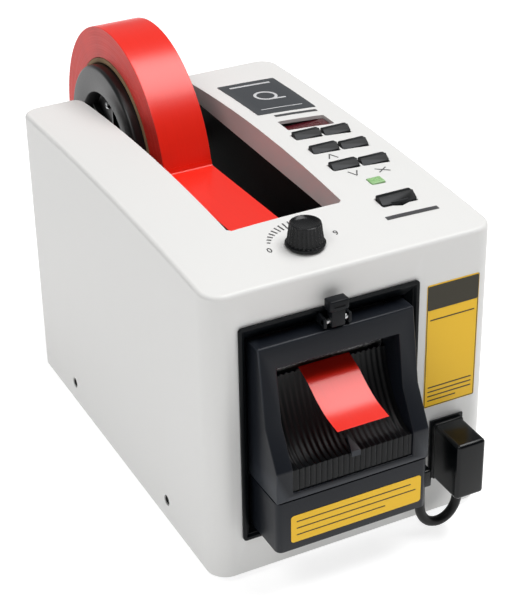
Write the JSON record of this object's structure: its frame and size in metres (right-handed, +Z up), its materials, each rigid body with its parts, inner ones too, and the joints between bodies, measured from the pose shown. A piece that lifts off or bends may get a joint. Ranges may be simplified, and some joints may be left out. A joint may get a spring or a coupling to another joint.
{
  "type": "electric desktop tape dispenser",
  "caption": "Desktop electric tape dispenser: box case with a roll in an open well, key panel, dial, and a cutter unit with a ribbed chute where the cut strip comes out.",
  "frame": {"origin": "middle of the object's bounding box in plan, on the surface it stands on; the lead and its plug are not counted", "axes": "+Z up, -Y towards the front where the tape comes out, +Y towards the roll, +X towards the key panel"},
  "size_m": [0.119, 0.2504, 0.1583],
  "materials": {
    "case_white": "satin",
    "moulded_black": "satin",
    "key_black": "satin",
    "black_rubber": "matt",
    "brown_rubber": "matt",
    "plated_steel": "satin",
    "brass": "satin",
    "red_tape": "gloss",
    "core_card": "matt",
    "red_window": "gloss",
    "green_lens": "gloss",
    "board_green": "satin"
  },
  "bodies": {
    "machine": {"case_shell": "case_white", "base_plate": "plated_steel", "foot_front_left": "black_rubber", "foot_front_right": "black_rubber", "foot_back_left": "black_rubber", "foot_back_right": "black_rubber", "case_screw_front_left": "plated_steel", "case_screw_front_right": "plated_steel", "case_screw_back_left": "plated_steel", "case_screw_back_right": "plated_steel", "tape_well": "moulded_black", "chassis_left": "plated_steel", "chassis_right": "plated_steel", "spool_axle": "plated_steel", "feed_strip": "red_tape", "outlet_strip": "red_tape", "feed_motor": "plated_steel", "motor_bracket": "plated_steel", "cutter_frame": "moulded_black", "chute_guide": "moulded_black", "nose_cover": "moulded_black", "fixed_blade": "plated_steel", "cutter_motor": "plated_steel", "front_bezel": "moulded_black", "latch_pin": "plated_steel", "connector_plug": "moulded_black", "connector_socket": "moulded_black", "lead_gland": "moulded_black", "cutter_lead": "black_rubber", "lamp_lens": "green_lens", "display_window": "red_window", "control_board": "board_green", "dial_potentiometer": "plated_steel", "power_inlet": "moulded_black", "power_supply": "plated_steel"},
    "spool": {"tape_roll": "red_tape", "tape_core": "core_card", "hub_left": "moulded_black", "hub_right": "moulded_black", "hub_screw_1": "plated_steel", "hub_screw_2": "plated_steel", "hub_screw_3": "plated_steel"},
    "guide": {"guide_roller": "plated_steel"},
    "drive": {"drive_roller": "brown_rubber", "drive_gear": "moulded_black"},
    "pressure": {"pressure_roller": "black_rubber"},
    "pinion": {"motor_pinion": "brass"},
    "blade": {"moving_blade": "plated_steel"},
    "crank": {"cutter_crank": "plated_steel"},
    "dial": {"dial_knob": "moulded_black", "dial_shaft": "plated_steel"},
    "latch": {"latch_lever": "moulded_black"},
    "rocker": {"power_rocker": "key_black"},
    "left_key_1": {"key_left_1": "key_black"},
    "right_key_1": {"key_right_1": "key_black"},
    "left_key_2": {"key_left_2": "key_black"},
    "right_key_2": {"key_right_2": "key_black"},
    "left_key_3": {"key_left_3": "key_black"},
    "right_key_3": {"key_right_3": "key_black"},
    "large_key": {"key_large": "key_black"}
  },
  "joints": [
    {"name": "spool_turn", "type": "hinge", "parent": "machine", "child": "spool", "pos_m": [-0.0104, 0.0716, 0.1047], "axis": [1, 0, 0], "continuous": true},
    {"name": "guide_turn", "type": "hinge", "parent": "machine", "child": "guide", "pos_m": [-0.008, -0.0644, 0.1128], "axis": [1, 0, 0], "continuous": true},
    {"name": "drive_turn", "type": "hinge", "parent": "machine", "child": "drive", "pos_m": [-0.0095, -0.0839, 0.08185], "axis": [1, 0, 0], "continuous": true},
    {"name": "pressure_turn", "type": "hinge", "parent": "machine", "child": "pressure", "pos_m": [-0.0095, -0.0839, 0.09385], "axis": [1, 0, 0], "continuous": true},
    {"name": "pinion_turn", "type": "hinge", "parent": "machine", "child": "pinion", "pos_m": [0.0251, -0.06885, 0.08185], "axis": [1, 0, 0], "continuous": true},
    {"name": "blade_slide", "type": "slide", "parent": "machine", "child": "blade", "axis": [0, 0, -1], "range_m": [0, 0.006]},
    {"name": "crank_turn", "type": "hinge", "parent": "machine", "child": "crank", "pos_m": [0.0085, -0.0915, 0.113], "axis": [0, 1, 0], "range_deg": [0, 180]},
    {"name": "dial_turn", "type": "hinge", "parent": "machine", "child": "dial", "pos_m": [-0.0102, -0.0815, 0.135], "axis": [0, 0, 1], "range_deg": [-140, 140]},
    {"name": "latch_tilt", "type": "hinge", "parent": "machine", "child": "latch", "pos_m": [-0.0092, -0.1027, 0.1076], "axis": [1, 0, 0], "range_deg": [0, 15], "stiffness_Nm_per_rad": 0.02, "springref_deg": -11.46},
    {"name": "rocker_tip", "type": "hinge", "parent": "machine", "child": "rocker", "pos_m": [0.039, 0.0846, 0.0351], "axis": [1, 0, 0], "range_deg": [-8, 8]},
    {"name": "left_key_1_press", "type": "slide", "parent": "machine", "child": "left_key_1", "axis": [0, 0, -1], "range_m": [0, 0.001], "stiffness_N_per_m": 800},
    {"name": "right_key_1_press", "type": "slide", "parent": "machine", "child": "right_key_1", "axis": [0, 0, -1], "range_m": [0, 0.001], "stiffness_N_per_m": 800},
    {"name": "left_key_2_press", "type": "slide", "parent": "machine", "child": "left_key_2", "axis": [0, 0, -1], "range_m": [0, 0.001], "stiffness_N_per_m": 800},
    {"name": "right_key_2_press", "type": "slide", "parent": "machine", "child": "right_key_2", "axis": [0, 0, -1], "range_m": [0, 0.001], "stiffness_N_per_m": 800},
    {"name": "left_key_3_press", "type": "slide", "parent": "machine", "child": "left_key_3", "axis": [0, 0, -1], "range_m": [0, 0.001], "stiffness_N_per_m": 800},
    {"name": "right_key_3_press", "type": "slide", "parent": "machine", "child": "right_key_3", "axis": [0, 0, -1], "range_m": [0, 0.001], "stiffness_N_per_m": 800},
    {"name": "large_key_press", "type": "slide", "parent": "machine", "child": "large_key", "axis": [0, 0, -1], "range_m": [0, 0.001], "stiffness_N_per_m": 800}
  ],
  "couplings": [
    {"joint": "guide_turn", "follows": "spool_turn", "ratio": 10.72},
    {"joint": "drive_turn", "follows": "spool_turn", "ratio": 8.6452},
    {"joint": "pressure_turn", "follows": "spool_turn", "ratio": -10.939},
    {"joint": "pinion_turn", "follows": "spool_turn", "ratio": -18.011},
    {"joint": "crank_turn", "follows": "blade_slide", "rad_per_m": 523}
  ]
}
